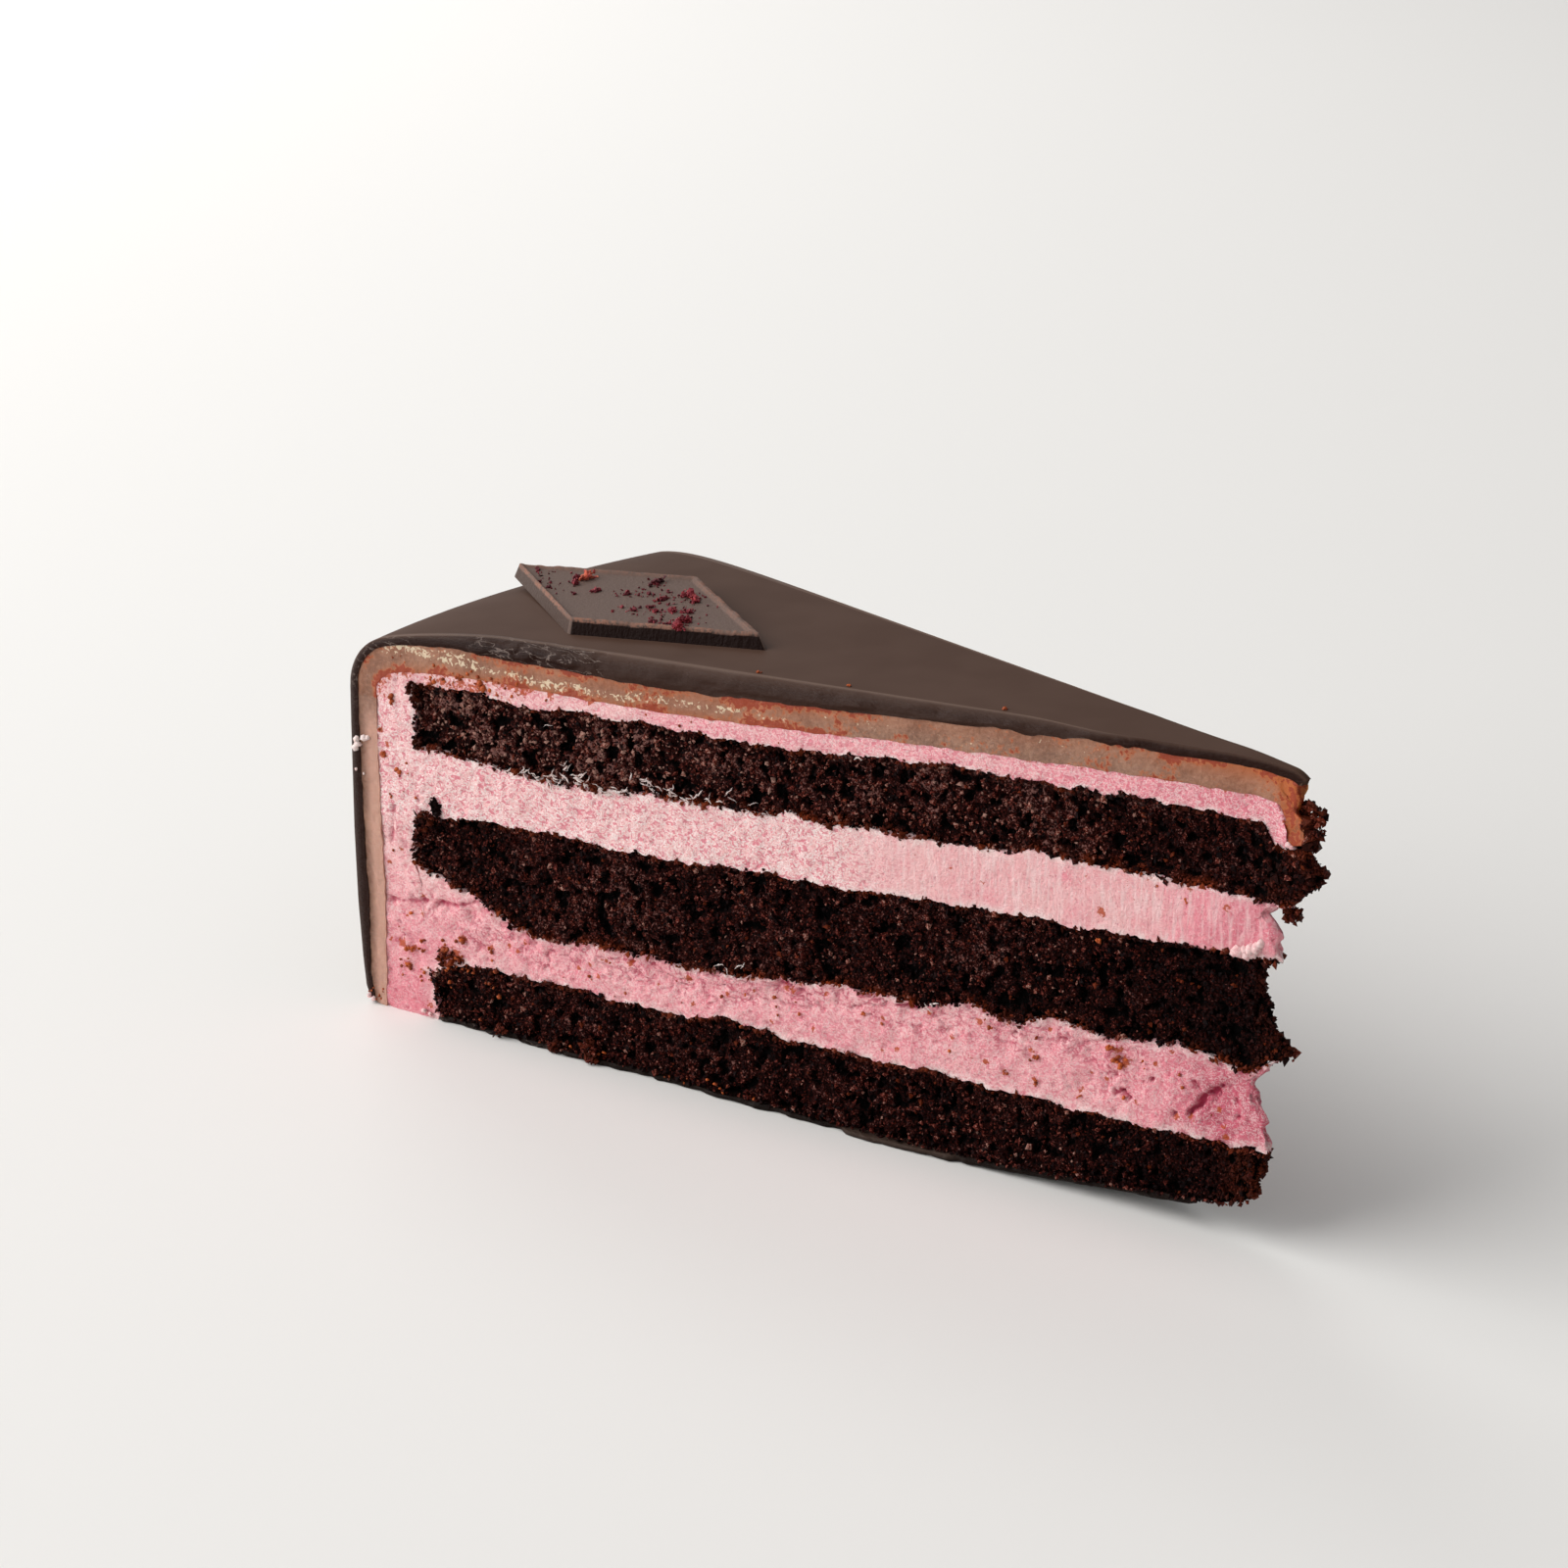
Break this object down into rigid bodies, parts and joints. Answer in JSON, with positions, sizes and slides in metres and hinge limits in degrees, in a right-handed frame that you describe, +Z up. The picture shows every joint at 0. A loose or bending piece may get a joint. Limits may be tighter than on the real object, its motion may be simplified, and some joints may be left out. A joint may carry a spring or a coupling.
{
  "type": "torte slice",
  "caption": "Slice of chocolate raspberry torte: dark sponge and pink cream layers under marzipan and chocolate glaze, with a chocolate plaque.",
  "frame": {"origin": "centre of the bounding box at the height of the floor that the slice stands on", "axes": "+X runs through the middle of the slice from the rim to the tip, +Y points to the far cut face, +Z is up"},
  "size_m": [0.1359, 0.0535, 0.0598],
  "materials": {
    "sponge": "very dark chocolate sponge, open crumb, matte",
    "cream": "deep pink raspberry cream, finely cracked, matte",
    "pale_cream": "pale pink raspberry cream, finely porous, matte",
    "marzipan": "tan marzipan, slightly translucent, satin, with orange-brown stains",
    "glaze": "smooth dark chocolate glaze, satin",
    "film": "thin dark chocolate film, satin",
    "plaque": "moulded dark chocolate with freeze-dried raspberry pieces, satin"
  },
  "bodies": {
    "root": {"chocolate_base": "film", "sponge_bottom": "sponge", "sponge_middle": "sponge", "sponge_top": "sponge", "cream_lower": "cream", "cream_upper": "pale_cream", "cream_coat": "cream", "marzipan_cover": "marzipan", "glaze": "glaze", "plaque": "plaque"}
  },
  "joints": []
}
